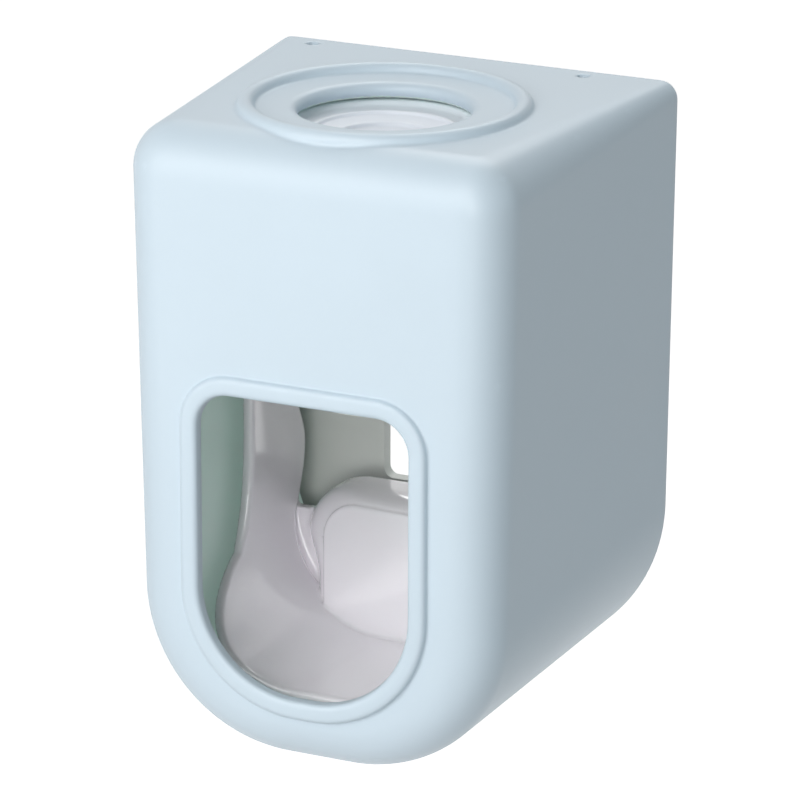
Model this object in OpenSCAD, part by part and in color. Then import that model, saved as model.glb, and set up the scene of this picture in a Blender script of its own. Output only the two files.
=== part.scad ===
// Wall-mounted toothpaste dispenser: a moulded cover with a top socket for the tube,
// a soft squeeze pump inside it and a swinging scoop that a toothbrush pushes back.
// Millimetres. +Z is up, the front faces -Y, the wall is the plane y = 0.
// The origin is the middle of the wall plate's foam pad, on the wall.

/* [Cover] */
// width of the cover at the wall
body_w = 66; // [60:0.5:72]
// depth from the wall to the front face
body_d = 57.5; // [52:0.5:64]
// height of the cover
body_h = 94; // [86:0.5:102]
// width of the front face at the top
front_top_w = 60.6; // [56:0.2:66]
// width of the front face at the chin
front_chin_w = 58.2; // [54:0.2:64]
// width of the rear rim at the chin
back_chin_w = 64.8; // [58:0.2:70]
// how far the chin rises towards the wall
chin_rise = 1; // [0:0.5:3]
// wall thickness of the mouldings
wall = 2.4; // [1.8:0.1:2.8]
// rounding between the front face and the sides
edge_r = 7; // [5:0.5:10]
// chin radius at the front
chin_r = 24; // [16:0.5:28]
// chin radius at the wall
back_chin_r = 27.5; // [16:0.5:30]
// rounding of the rear top corners
back_top_r = 2.7; // [2.6:0.1:8]

/* [Window] */
// half width of the brush window
win_hw = 16.5; // [12:0.5:20]
// lower edge of the window above the chin
win_z0 = 11.2; // [8:0.2:16]
// upper edge of the window
win_z1 = 55.2; // [48:0.2:62]
// radius of the upper window corners
win_top_r = 6.5; // [3:0.5:12]
// radius of the lower window corners
win_low_r = 15; // [8:0.5:16]
// width of the raised band round the window
bezel_w = 3.6; // [2:0.1:5]
// how far the band stands proud
bezel_h = 1; // [0.6:0.1:2]

/* [Tube socket] */
// distance of the pump axis from the wall
pump_y = 31.8; // [28:0.2:36]
// radius of the hole in the top
hole_r = 12.6; // [9:0.1:14]
// radius of the raised ring
ring_r = 20.2; // [17:0.1:23]
// radius of the ring's half-round section
ring_bead_r = 1.35; // [0.8:0.05:2]
// bore that takes the neck of the tube
neck_r = 5; // [4:0.1:7]

/* [Lever] */
// distance of the lever pivot from the wall
pivot_y = 22; // [18:0.5:26]
// height of the lever pivot above the chin
pivot_z = 86; // [80:0.5:87]
// half width of the scoop
scoop_hw = 26.2; // [22:0.2:27]
// corner radius of the scoop
scoop_r = 20.6; // [12:0.2:24]
// wall thickness of the scoop
scoop_t = 1.9; // [1.4:0.1:2.5]
// half width of the push block at its root
block_hw = 22; // [16:0.5:23]
// top of the push block
block_top = 28.3; // [24:0.1:34]
// distance of the block's face from the wall
block_y = 17.3; // [15:0.1:22]
// radius of the bow of the block's face
block_bow = 110; // [60:5:200]
// height of the bar that squeezes the pump
bar_z = 61; // [59:0.5:66]

/* [Wall plate] */
// width of the wall plate
plate_w = 37; // [30:0.5:44]
// height of the wall plate
plate_h = 27; // [20:0.5:32]
// thickness of the foam pad
pad_t = 1; // [0.8:0.1:1.6]

/* [Hidden] */
$fn = 96;
hull_fn = 40;
eps = 0.02;
seam = 0.05;
cover_blue = [0.84, 0.91, 0.95];
part_white = [0.93, 0.93, 0.95];
silicone_white = [0.93, 0.90, 0.88];
steel_grey = [0.72, 0.73, 0.75];
foam_grey = [0.80, 0.81, 0.82];
wall_gap = 0.3;
top_in = body_h - wall;
bezel_edge_r = 0.8;
bezel_core_w = bezel_w - 0.4;
hole_lip_r = 1.3;
// pump frame
frame_top = 87;
frame_t = 2.4;
frame_low = frame_top - frame_t;
frame_hw = 20;
frame_y0 = 9;
frame_y1 = 53;
frame_pad_r = 5;
collar_in = 8.9;
collar_out = 10.9;
collar_low = 76;
spine_hw = 11;
spine_y = 15.6;
spine_t = 2.2;
anvil_y = 24.9;
seat_z = 77.25;
seat_t = 1.7;
outlet_z = 52.6;
outlet_t = 2.2;
outlet_in = 6.9;
outlet_out = 10.6;
ear_t = 2.4;
ear_r = 4.3;
screw_x = 15.5;
screw_y = [12, 50];
screw_r = 0.95;
screw_boss_r = 2.8;
screw_bite = 4;
collar_rib_r = 16.3;
collar_rib_t = 1.5;
pin_r = 1.5;
pin_run = 0.05;
// scoop
scoop_z0 = 3.8;
scoop_tilt = 2.2;
scoop_front = 46;
scoop_rear = 11.2;
arm_in = scoop_hw - scoop_t;
// push block and the web that carries it, both on a plane that leans with the swing
block_corner = 9.5;
block_round = 5.5;
block_inset_x = 4.3;
block_inset_z = 1.9;
block_wall = 2;
block_foot = 4;
face_step = 0.3;
web_lean = 0.09;
web_t = 1.6;
web_top = 21;
skirt_t = 1;
boss_r = 4.1;
boss_rim_r = 3.4;
clip_x = scoop_hw + 0.6;
groove_r = 1.1;
bar_y = 41.5;
bar_r = 2.6;
limb_r = 3.4;
peg_r = 1.6;
spring_r = 3.1;
wire_r = 0.35;
spring_turns = 4;
spring_x0 = frame_hw + 0.65;
spring_x1 = arm_in - 0.6;
// rear panel
panel_y0 = 0.9;
panel_t = 1.8;
panel_gap = 0.2;
slot_hw = 13.7;
slot_z0 = 26.2;
slot_z1 = 45;
slot_r = 1.5;
slot_lip_w = 1.2;
slot_lip_h = 0.4;
pocket_hw = 20.4;
pocket_z0 = 49.8;
pocket_z1 = 85.4;
pocket_y = 3.2;
pocket_t = 1.6;
hook_x = 10.5;
hook_z = [66.5, 79.5];
hook_neck_w = 4;
hook_neck_h = 5;
hook_head_w = 8;
hook_head_t = 1.4;
lift = 7;
plate_t = 1.6;
plate_z = 71;
nib_x = [-25.6, 19];
nib_y = 3.5;
nib_w = 1.9;
nib_t = 1.3;

// moves a child, drawn upwards from the chin, to the frame's origin
module lower() translate([0, 0, -plate_z]) children();
// a plate in the wall plane, from y = -y0 to y = -(y0 + t)
module wall_slab(y0, t) translate([0, -y0, 0]) rotate([90, 0, 0]) linear_extrude(t) children();
// a plate standing square to the X axis, drawn in Y and Z, from x0 to x0 + t
module side_slab(x0, t) translate([x0, 0, 0]) rotate([90, 0, 90]) linear_extrude(t) children();
// a rod along X
module rod_x(r, x0, x1) translate([x0, 0, 0]) rotate([0, 90, 0]) cylinder(r = r, h = x1 - x0);
// the vertical axis that the socket, the pump and the ring share
module on_pump_axis(z = 0) translate([0, -pump_y, z]) children();
module at_pivot() translate([0, -pivot_y, pivot_z]) children();
module at_bar() translate([0, -bar_y, bar_z]) children();
module at_screws(z) for (sx = [-1, 1], y = screw_y) translate([sx * screw_x, -y, z]) children();
// both sides of the mirror plane x = 0
module both() {
    children();
    mirror([1, 0, 0]) children();
}

module round_rect(hw, z0, z1, r) {
    translate([-hw, z0 + r]) square([2 * hw, z1 - z0 - 2 * r]);
    translate([-hw + r, z0]) square([2 * (hw - r), z1 - z0]);
    for (sx = [-1, 1], z = [z0 + r, z1 - r])
        translate([sx * (hw - r), z]) circle(r);
}

// window outline, grown by g, with its own radii above and below
module window_outline(g) {
    hw = win_hw + g;
    rt = win_top_r + g;
    rl = win_low_r + g;
    translate([-hw, win_z0 - g + rl]) square([2 * hw, win_z1 - win_z0 + 2 * g - rt - rl]);
    translate([-hw + rt, win_z0 - g + rl]) square([2 * (hw - rt), win_z1 + g - (win_z0 - g + rl)]);
    translate([-hw + rl, win_z0 - g]) square([2 * (hw - rl), rl + 1]);
    for (sx = [-1, 1]) {
        translate([sx * (hw - rt), win_z1 + g - rt]) circle(rt);
        translate([sx * (hw - rl), win_z0 - g + rl]) circle(rl);
    }
}

// the cover's drafted body, all faces moved inwards by off
module body_solid(off, rear) {
    hull() {
        for (sx = [-1, 1]) {
            translate([sx * (front_top_w / 2 - edge_r), edge_r - body_d, body_h - edge_r])
                sphere(edge_r - off, $fn = hull_fn);
            translate([sx * (front_chin_w / 2 - chin_r), edge_r - body_d, chin_r])
                rotate([90, 0, 0])
                    rotate_extrude($fn = hull_fn)
                        translate([chin_r - edge_r, 0]) circle(edge_r - off, $fn = hull_fn);
            translate([sx * (body_w / 2 - back_top_r), rear, body_h - back_top_r])
                rotate([90, 0, 0]) cylinder(r = back_top_r - off, h = eps, $fn = hull_fn);
            translate([sx * (back_chin_w / 2 - back_chin_r), rear, back_chin_r + chin_rise])
                rotate([90, 0, 0]) cylinder(r = back_chin_r - off, h = eps, $fn = hull_fn);
        }
    }
}

// soft-lipped hole through the top
module top_hole() {
    on_pump_axis(top_in - 1) cylinder(r = hole_r, h = wall + 2);
    on_pump_axis(body_h - hole_lip_r) difference() {
        cylinder(r = hole_r + hole_lip_r, h = hole_lip_r + 1);
        rotate_extrude() translate([hole_r + hole_lip_r, 0]) circle(hole_lip_r);
    }
}

// raised band round the window, its outer edge rounded in steps
module window_band() {
    for (a = [0 : 30 : 90])
        wall_slab(body_d - 1, 1 + bezel_h - bezel_edge_r * (1 - sin(a)))
            window_outline(bezel_w - bezel_edge_r * (1 - cos(a)));
}

// the opening through the band and the wall, with the band's inner edge softened
module window_cut() {
    wall_slab(body_d - 3, 6) window_outline(0);
    for (a = [30, 60])
        wall_slab(body_d + bezel_h - bezel_edge_r * (1 - sin(a)), 2)
            window_outline(bezel_edge_r * (1 - cos(a)));
    // cored out behind the band, so that the wall keeps its thickness there
    wall_slab(body_d - wall - 1, 1 + bezel_h) window_outline(bezel_core_w);
}

module shell() {
    color(cover_blue) lower() difference() {
        union() {
            difference() {
                body_solid(0, -wall_gap);
                body_solid(wall, 1);
            }
            window_band();
            // raised ring round the tube hole
            on_pump_axis(body_h) rotate_extrude() translate([ring_r, 0]) circle(ring_bead_r);
            // collar that centres the soft socket
            on_pump_axis(frame_top + 1.5)
                rotate_extrude() translate([collar_rib_r, 0]) square([collar_rib_t, top_in - frame_top]);
            at_screws(frame_top + seam) cylinder(r = screw_boss_r, h = top_in - frame_top);
        }
        window_cut();
        top_hole();
        on_pump_axis(frame_top - 1) cylinder(r = collar_rib_r, h = top_in - frame_top + 1 - 0.01);
        at_screws(frame_top - 1) cylinder(r = screw_r + seam, h = screw_bite + 1);
        // notches that the latch arms of the rear panel snap into
        for (x = nib_x)
            translate([x - nib_w / 2, -nib_y - nib_t / 2, body_h - 4]) cube([nib_w, nib_t, 6]);
    }
}

module panel_outline() {
    taper_gap = 0.15;
    hw_top = body_w / 2 - wall - panel_gap - taper_gap;
    hw_low = back_chin_w / 2 - wall - panel_gap - taper_gap;
    r = back_chin_r - wall - panel_gap;
    cz = back_chin_r + chin_rise;
    polygon([[-hw_low, cz], [hw_low, cz], [hw_top, top_in - panel_gap], [-hw_top, top_in - panel_gap]]);
    translate([-(hw_low - r), cz - r]) square([2 * (hw_low - r), r + 1]);
    for (sx = [-1, 1])
        translate([sx * (hw_low - r), cz]) circle(r);
}

// latch arm that holds the panel's top edge in the cover, its tip in one of the notches
module latch_arm(x) {
    arm_hw = 3;
    arm_z0 = 84;
    tip_z0 = 88;
    tip_z1 = body_h - 0.9;
    play = 0.1;
    t = nib_t - 2 * play;
    translate([x - arm_hw, -nib_y - t / 2, arm_z0]) cube([2 * arm_hw, t, top_in - panel_gap - arm_z0]);
    translate([x - nib_w / 2 + play, -nib_y - t / 2, tip_z0]) cube([nib_w - 2 * play, t, tip_z1 - tip_z0]);
    translate([x - arm_hw, -nib_y, arm_z0]) cube([2 * arm_hw, nib_y - panel_y0, 1.2]);
}

// keyhole: a wide mouth below, a narrow run above it that rides down on the hook
module keyhole(z) {
    play = 0.3;
    mouth_play = 0.4;
    low = z - hook_neck_h / 2 - lift;
    wall_slab(-1, 10) translate([hook_x - hook_neck_w / 2 - play, low])
        square([hook_neck_w + 2 * play, hook_neck_h + play + lift]);
    wall_slab(-1, 10) translate([hook_x - hook_head_w / 2 - mouth_play, low - 0.5])
        square([hook_head_w + 2 * mouth_play, hook_neck_h + 1]);
}

module back_plate() {
    rib_x = 26.6;
    rib_t = 1.2;
    rib_h = 1.4;
    rib_z0 = 42;
    rib_z1 = 80;
    color(part_white) lower() difference() {
        union() {
            wall_slab(panel_y0, panel_t) panel_outline();
            // dish that the wall plate sits in
            wall_slab(panel_y0, pocket_y + pocket_t - panel_y0)
                round_rect(pocket_hw + pocket_t, pocket_z0 - pocket_t, pocket_z1 + 1.2, 4);
            // lip round the rear window
            wall_slab(panel_y0, panel_t + slot_lip_h)
                round_rect(slot_hw + slot_lip_w, slot_z0 - slot_lip_w, slot_z1 + slot_lip_w, slot_r + slot_lip_w);
            for (x = nib_x)
                latch_arm(x);
            // stiffening ribs up both sides
            both() translate([rib_x, -panel_y0 - panel_t - rib_h, rib_z0])
                cube([rib_t, rib_h + 0.2, rib_z1 - rib_z0]);
        }
        wall_slab(-1, 10) round_rect(slot_hw, slot_z0, slot_z1, slot_r);
        wall_slab(-1, 1 + pocket_y) round_rect(pocket_hw, pocket_z0, pocket_z1, 3);
        both() for (z = hook_z)
            keyhole(z);
    }
}

module wall_hanger() {
    neck_y0 = pad_t + plate_t - 0.2;
    neck_y1 = pocket_y + pocket_t + 0.35;
    z0 = plate_z - plate_h / 2;
    z1 = plate_z + plate_h / 2;
    color(part_white) lower() {
        wall_slab(pad_t, plate_t) round_rect(plate_w / 2, z0, z1, 3.5);
        // headed hooks that the rear panel slides down on
        both() for (z = hook_z) {
            wall_slab(neck_y0, neck_y1 - neck_y0)
                translate([hook_x - hook_neck_w / 2, z - hook_neck_h / 2]) square([hook_neck_w, hook_neck_h]);
            wall_slab(neck_y1 - 0.05, hook_head_t)
                translate([hook_x, 0]) round_rect(hook_head_w / 2, z - hook_neck_h / 2, z + hook_neck_h / 2, 1);
        }
    }
}

module adhesive_pad() {
    inset = 1;
    z0 = plate_z - plate_h / 2 + inset;
    z1 = plate_z + plate_h / 2 - inset;
    color(foam_grey) lower()
        wall_slab(0, pad_t) round_rect(plate_w / 2 - inset, z0, z1, 3);
}

module frame_plate() {
    translate([0, 0, frame_low]) linear_extrude(frame_t)
        round_rect(frame_hw, -frame_y1, -frame_y0, frame_pad_r);
}

// pad that the bar squeezes the sleeve against, hollow behind
module anvil() {
    hw = 9;
    low = 58.6;
    high = 65.4;
    skin = 1.6;
    intersection() {
        translate([-hw, -anvil_y, low - 1.2]) cube([2 * hw, anvil_y - spine_y, high - low + 2.4]);
        difference() {
            side_slab(-hw - 1, 2 * (hw + 1))
                polygon([[-anvil_y, low], [-anvil_y, high], [-spine_y, high + skin], [-spine_y, low - skin]]);
            side_slab(skin - hw, 2 * (hw - skin))
                translate([-anvil_y + 2, low + skin / 2]) square([20, high - low - skin]);
        }
    }
}

module pump_frame() {
    spine_rib_t = 1.6;
    pin_head_play = 2.8;
    color(part_white) lower() {
        difference() {
            union() {
                frame_plate();
                on_pump_axis(collar_low) cylinder(r = collar_out, h = frame_low - collar_low + 1);
                // spine behind the sleeve, with its edge ribs
                translate([-spine_hw, -spine_y - spine_t, outlet_z])
                    cube([2 * spine_hw, spine_t, frame_low - outlet_z + 1]);
                both() side_slab(spine_hw - spine_rib_t, spine_rib_t)
                    polygon([[-spine_y - 0.5, outlet_z], [-spine_y - 0.5, frame_low + 0.5],
                        [-spine_y + 6, frame_low + 0.5], [-spine_y + 3, outlet_z + 8], [-spine_y + 2, outlet_z]]);
                anvil();
                // ring that carries the outlet
                on_pump_axis(outlet_z) cylinder(r = outlet_out, h = outlet_t);
                translate([-8, -pump_y, outlet_z]) cube([16, pump_y - spine_y, outlet_t]);
                // ears for the pivot pins
                both() side_slab(frame_hw - ear_t, ear_t) {
                    translate([-pivot_y, pivot_z]) circle(ear_r);
                    translate([-pivot_y - ear_r, frame_low - 0.5]) square([2 * ear_r, pivot_z - frame_low + 0.5]);
                }
                // stops for the fixed legs of the springs
                both() translate([frame_hw - 1, -15, frame_low]) cube([4, 3, frame_t]);
            }
            on_pump_axis(collar_low - 1) cylinder(r = collar_in, h = frame_top - collar_low + 2);
            on_pump_axis(outlet_z - 1) cylinder(r = outlet_in, h = outlet_t + 2);
            at_screws(frame_low - 1) cylinder(r = screw_r + 0.15, h = frame_t + 2);
            both() at_pivot() rod_x(pin_r, frame_hw - ear_t - 1, frame_hw + 1);
            // room for the heads of the pivot pins
            both() translate([frame_hw - 2 * ear_t, -pivot_y - pin_head_play, frame_low - 1])
                cube([ear_t, 2 * pin_head_play, frame_t + 2]);
            // lightening slots
            both() translate([0, 0, frame_low - 1]) linear_extrude(frame_t + 2)
                translate([15, 0]) round_rect(1.8, -43, -32, 1.7);
        }
    }
}

module frame_screws() {
    head_r = 2.1;
    head_h = 1.4;
    head_dome_r = 3.2;
    cross_l = 2.6;
    cross_w = 0.5;
    color(steel_grey) lower()
        at_screws(frame_low - seam) difference() {
            union() {
                cylinder(r = screw_r, h = frame_t + screw_bite);
                rotate_extrude() intersection() {
                    translate([0, head_dome_r / 2]) circle(head_dome_r);
                    translate([0, -head_h]) square([head_r, head_h]);
                }
            }
            for (a = [0, 90])
                rotate(a) translate([-cross_l / 2, -cross_w / 2, -2]) cube([cross_l, cross_w, 1.5]);
        }
}

module tube_socket() {
    flange_r = 16;
    dish_top = top_in - 0.3;
    dish_r = 13.6;
    dish_floor = 88.2;
    stem_z = 79;
    port_r = 3;
    port_h = 1.5;
    color(silicone_white) lower()
        on_pump_axis() rotate_extrude() difference() {
            union() {
                translate([0, frame_top + seam]) square([flange_r, dish_top - frame_top - seam]);
                translate([0, stem_z]) square([collar_in - seam, frame_top + 1 - stem_z]);
            }
            translate([0, stem_z + port_h]) square([neck_r, 20]);
            translate([0, stem_z - 1]) square([port_r, 4]);
            // shallow dish that leads the neck in
            polygon([[0, dish_floor], [neck_r + 0.4, dish_floor], [dish_r, dish_top - 0.2],
                [dish_r + 0.8, dish_top + 1], [0, dish_top + 1]]);
            // relief groove under the flange
            translate([12.6, frame_top]) circle(0.7);
        }
}

module inlet_seat() {
    stem_r = 0.8;
    port_r = 1.35;
    port_ring_r = 3.1;
    color(part_white) lower() on_pump_axis(seat_z) difference() {
        cylinder(r = collar_in - seam, h = seat_t);
        translate([0, 0, -1]) cylinder(r = stem_r, h = seat_t + 2);
        for (a = [0 : 90 : 270])
            rotate(a + 45) translate([port_ring_r, 0, -1]) cylinder(r = port_r, h = seat_t + 2);
    }
}

module inlet_flap() {
    flap_r = 5.1;
    flap_t = 0.7;
    stem_r = 0.72;
    knob_r = 1.15;
    knob_z = seat_z + seat_t + 0.15;
    color(silicone_white) lower() on_pump_axis() rotate_extrude() {
        translate([0, seat_z - flap_t - seam]) square([flap_r, flap_t]);
        translate([0, seat_z - flap_t]) square([stem_r, seat_t + flap_t + 0.4]);
        // knob that holds the flap in its seat
        intersection() {
            translate([0, knob_z]) circle(knob_r);
            translate([0, knob_z - 0.1]) square([2, 2]);
        }
    }
}

module pump_sleeve() {
    tube_r = 6.7;
    bore_r = 5.4;
    rib_z = [57.5, 70.5];
    rib_r = 0.6;
    brim_z = 74.6;
    collar_z = 54.85;
    color(silicone_white) lower() on_pump_axis() rotate_extrude() difference() {
        union() {
            translate([0, brim_z]) square([collar_in - seam, seat_z - seam - brim_z]);
            translate([0, collar_z]) square([tube_r, brim_z - collar_z + 0.4]);
            translate([0, collar_z]) square([8.9, 1.3]);
            translate([0, outlet_z + 0.4]) square([outlet_in - seam, 2]);
            // ribs that make the squeezed zone spring back
            for (z = rib_z)
                translate([tube_r, z]) circle(rib_r);
        }
        translate([0, 50]) square([bore_r, 30]);
    }
}

module sleeve_cap() {
    cap_r = 12.9;
    cap_z0 = 72.4;
    cap_z1 = 80.8;
    edge = 0.8;
    floor_t = 2.1;
    mouth_r = 7.5;
    grips = 18;
    grip_r = 0.5;
    color(part_white) lower() on_pump_axis() difference() {
        union() {
            rotate_extrude() {
                translate([0, cap_z0]) square([cap_r - edge, cap_z1 - cap_z0]);
                translate([0, cap_z0 + edge]) square([cap_r, cap_z1 - cap_z0 - 2 * edge]);
                for (z = [cap_z0 + edge, cap_z1 - edge])
                    translate([cap_r - edge, z]) circle(edge);
            }
            for (i = [0 : grips - 1])
                rotate(i * 360 / grips)
                    translate([cap_r, 0, cap_z0 + 1]) cylinder(r = grip_r, h = cap_z1 - cap_z0 - 2);
        }
        translate([0, 0, cap_z0 + floor_t]) cylinder(r = collar_out + 0.1, h = 10);
        translate([0, 0, cap_z0 - 1]) cylinder(r = mouth_r, h = floor_t + 2);
    }
}

module outlet_nozzle() {
    brim_r = 6.1;
    stem_r = 4.2;
    bore = 3.2;
    tip_z = 46.8;
    stem_z = 49.4;
    brim_z = 51.2;
    slit = 0.15;
    color(silicone_white) lower() on_pump_axis() difference() {
        union() {
            translate([0, 0, brim_z]) cylinder(r = brim_r, h = 1.7);
            translate([0, 0, stem_z]) cylinder(r = stem_r, h = 2.2);
            // flattened bill that closes by itself
            intersection() {
                translate([0, 0, tip_z]) cylinder(r = stem_r, h = 3);
                side_slab(-5, 10)
                    polygon([[-stem_r, stem_z + 0.2], [-0.9, tip_z], [0.9, tip_z], [stem_r, stem_z + 0.2]]);
            }
        }
        intersection() {
            translate([0, 0, tip_z + 0.4]) cylinder(r = bore, h = 8);
            side_slab(-5, 10) polygon([[-bore, 60], [-bore, stem_z + 0.4], [-slit, tip_z + 0.4], [slit, tip_z + 0.4],
                [bore, stem_z + 0.4], [bore, 60]]);
        }
        translate([-2.4, -slit, tip_z - 0.8]) cube([4.8, 2 * slit, 2]);
    }
}

module nozzle_cap() {
    cap_r = 9.9;
    cap_z = 50.3;
    step = 0.8;
    cup_r = 6.3;
    mouth_r = 4.4;
    finger_w = 3.6;
    finger_t = 1.1;
    finger_z = 50.4;
    finger_h = 5.4;
    color(part_white) lower() on_pump_axis() {
        difference() {
            union() {
                translate([0, 0, cap_z - step]) cylinder(r = cap_r - 0.5, h = 2.2);
                translate([0, 0, cap_z]) cylinder(r = cap_r, h = 2.2);
            }
            translate([0, 0, cap_z + step]) cylinder(r = cup_r, h = 4);
            translate([0, 0, cap_z - 2.3]) cylinder(r = mouth_r, h = 6);
        }
        // three snap fingers over the outlet ring
        for (a = [30 : 120 : 270])
            rotate(a) translate([outlet_out + 0.15, -finger_w / 2, finger_z]) {
                cube([finger_t, finger_w, finger_h]);
                translate([-1.2, 0, finger_h - 0.85]) cube([1.4, finger_w, 0.85]);
                translate([-1.4, 0, 0]) cube([1.6, finger_w, 1.4]);
            }
    }
}

// points of a smooth curve through three guide points
function bend(a, b, c, n) =
    [for (i = [0 : n]) let (t = i / n) (1 - t) * (1 - t) * a + 2 * t * (1 - t) * b + t * t * c];

// the scoop seen from the side: arm, waist, cheek and floor
module scoop_side() {
    front = concat(
        bend([-26.0, 78], [-27.6, 62], [-28.1, 44], 8),
        bend([-28.1, 42], [-28.3, 27], [-34.0, 20.6], 10),
        bend([-35.0, 19.6], [-44.2, 11.5], [-scoop_front, 3], 8));
    rear = concat(
        bend([-scoop_rear, 2], [-14.8, 11], [-12.6, 20], 8),
        bend([-12.4, 21], [-8.2, 29], [-8.7, 33.4], 8),
        bend([-8.9, 34.4], [-10.4, 39], [-14.6, 44], 8),
        bend([-15.2, 45], [-18, 56], [-18.0, 78], 8));
    polygon(concat(front, rear));
    translate([-pivot_y, pivot_z]) circle(boss_r);
    polygon([[-pivot_y - boss_r, pivot_z], [-26.0, 77], [-18.0, 77], [-pivot_y + boss_r, pivot_z]]);
    // limb that carries the squeeze bar
    polygon([[-26, bar_z - 5], [-bar_y, bar_z - limb_r], [-bar_y, bar_z + limb_r], [-25, bar_z + 9]]);
    translate([-bar_y, bar_z]) circle(limb_r);
}

// U section of the scoop, thickness t taken off
module scoop_section(t) {
    r = scoop_r - t;
    hw = scoop_hw - t;
    translate([-hw, t + r]) square([2 * hw, 100]);
    translate([-(hw - r), t]) square([2 * (hw - r), r + 1]);
    for (sx = [-1, 1])
        translate([sx * (hw - r), t + r]) circle(r);
}

// distance from the wall of the plane behind the block, at height z
function web_y(z) = scoop_rear - web_lean * (z - scoop_z0);

// block outline, narrowed by gx at each side and lowered by gz
module block_outline(gx, gz, z0) {
    r = block_corner - gx / 2;
    hw = block_hw - gx;
    top = block_top - gz;
    translate([-hw, z0]) square([2 * hw, top - r - z0]);
    translate([-(hw - r), z0]) square([2 * (hw - r), top - z0]);
    for (sx = [-1, 1])
        translate([sx * (hw - r), top - r]) circle(r, $fn = hull_fn);
}

// all that lies in front of the leaning plane and under height top
module ahead_of_web(t, top) {
    side_slab(-40, 80)
        polygon([[-web_y(0) - t, 0], [-web_y(0), 0], [-web_y(top), top], [-web_y(top) - t, top]]);
}

// the scoop's section run from front to rear, between t0 and t1 below its outside
module scoop_run(t0, t1) {
    translate([0, -scoop_rear, scoop_z0]) rotate([-scoop_tilt, 0, 0]) rotate([90, 0, 0])
        translate([0, 0, -8]) linear_extrude(56) difference() {
            scoop_section(t0);
            if (t1 > t0) scoop_section(t1);
        }
}

module block_hollow() block_outline(block_inset_x + 0.8, block_inset_z + 1, block_foot + 2.6);

// what lies behind a plane bowed like the block's face, g further from it
module behind_bow(g) translate([0, block_bow - block_y + g, 0]) cylinder(r = block_bow, h = 60, $fn = 240);

module push_block() {
    difference() {
        intersection() {
            union() {
                hull() for (a = [0 : 18 : 90])
                    wall_slab(block_y - block_round * (1 - sin(a)), eps)
                        block_outline(block_inset_x * (1 - cos(a)), block_inset_z * (1 - cos(a)), block_foot);
                wall_slab(web_y(40), block_y - block_round - web_y(40)) block_outline(0, 0, block_foot);
            }
            behind_bow(0);
        }
        // the block is open behind
        wall_slab(0, block_y - block_wall) block_hollow();
    }
    // flat inner face, a small step proud
    intersection() {
        wall_slab(block_y - 2, 3) block_outline(block_inset_x + 0.2, block_inset_z, block_foot);
        difference() {
            behind_bow(-face_step);
            behind_bow(0.4);
        }
    }
    // fillet where the block meets the floor
    side_slab(-block_hw + 6, 2 * block_hw - 12) difference() {
        translate([-block_y - 2.2, 5.2]) square([2.6, 3.2]);
        translate([-block_y - 2.4, 8.6]) circle(2.4);
    }
}

// stiffening rib down the outside of each arm
module arm_rib() {
    rib_z0 = 40;
    rib_z1 = 81;
    polygon([[-22.8, rib_z1], [-21.2, rib_z1], [-20.9, rib_z0 + 2], [-21.8, rib_z0], [-22.9, rib_z0 + 2]]);
}

module push_lever() {
    color(part_white) lower() difference() {
        union() {
            intersection() {
                scoop_run(0, scoop_t);
                side_slab(-40, 80) scoop_side();
            }
            // block and web, trimmed to the scoop's section and to the leaning plane
            intersection() {
                push_block();
                scoop_run(0.8, 0);
                ahead_of_web(20, 60);
            }
            intersection() {
                scoop_run(0.4, 0);
                ahead_of_web(web_t, web_top);
                difference() {
                    translate([-scoop_hw, -20, 0]) cube([2 * scoop_hw, 20, web_top]);
                    wall_slab(-1, 30) block_hollow();
                }
            }
            intersection() {
                scoop_run(0, skirt_t);
                ahead_of_web(5, web_top);
            }
            // pivot bosses
            both() at_pivot() rod_x(boss_rim_r, arm_in, scoop_hw + 0.2);
            both() side_slab(scoop_hw - 0.2, 1.2) arm_rib();
        }
        both() at_pivot() rod_x(pin_r + pin_run, arm_in - 2, scoop_hw + 2);
        both() at_bar() rod_x(peg_r, arm_in - 2, scoop_hw + 2);
    }
}

module press_bar() {
    rib_l = 40;
    rib_h = 2.2;
    rib_out = 0.9;
    color(part_white) lower() at_bar() {
        rod_x(bar_r, -(arm_in - seam), arm_in - seam);
        rod_x(peg_r, -(scoop_hw - 0.1), scoop_hw - 0.1);
        // flat rib that stiffens the bar in front
        translate([-rib_l / 2, -bar_r - rib_out, -rib_h / 2]) cube([rib_l, 1.6, rib_h]);
    }
}

module pivot_pins() {
    head_r = 2.4;
    head_t = 0.9;
    groove_w = 0.6;
    color(steel_grey) lower() both() at_pivot() difference() {
        union() {
            rod_x(pin_r, frame_hw - ear_t, scoop_hw + 1.9);
            rod_x(head_r, frame_hw - ear_t - head_t, frame_hw - ear_t - seam);
        }
        // groove for the clip
        translate([clip_x - seam, 0, 0]) rotate([0, 90, 0])
            rotate_extrude() translate([groove_r, 0]) square([1, groove_w]);
    }
}

module pin_clips() {
    clip_r = 3;
    clip_t = 0.5;
    mouth_w = 1.8;
    color(steel_grey) lower() both() at_pivot() translate([clip_x, 0, 0]) rotate([90, 0, 90])
        linear_extrude(clip_t) difference() {
            circle(clip_r);
            circle(groove_r + 0.02);
            translate([-mouth_w / 2, -clip_r - 1]) square([mouth_w, clip_r + 1]);
            for (a = [30, 150])
                rotate(a) translate([1.9, 0]) circle(0.55);
        }
}

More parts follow.
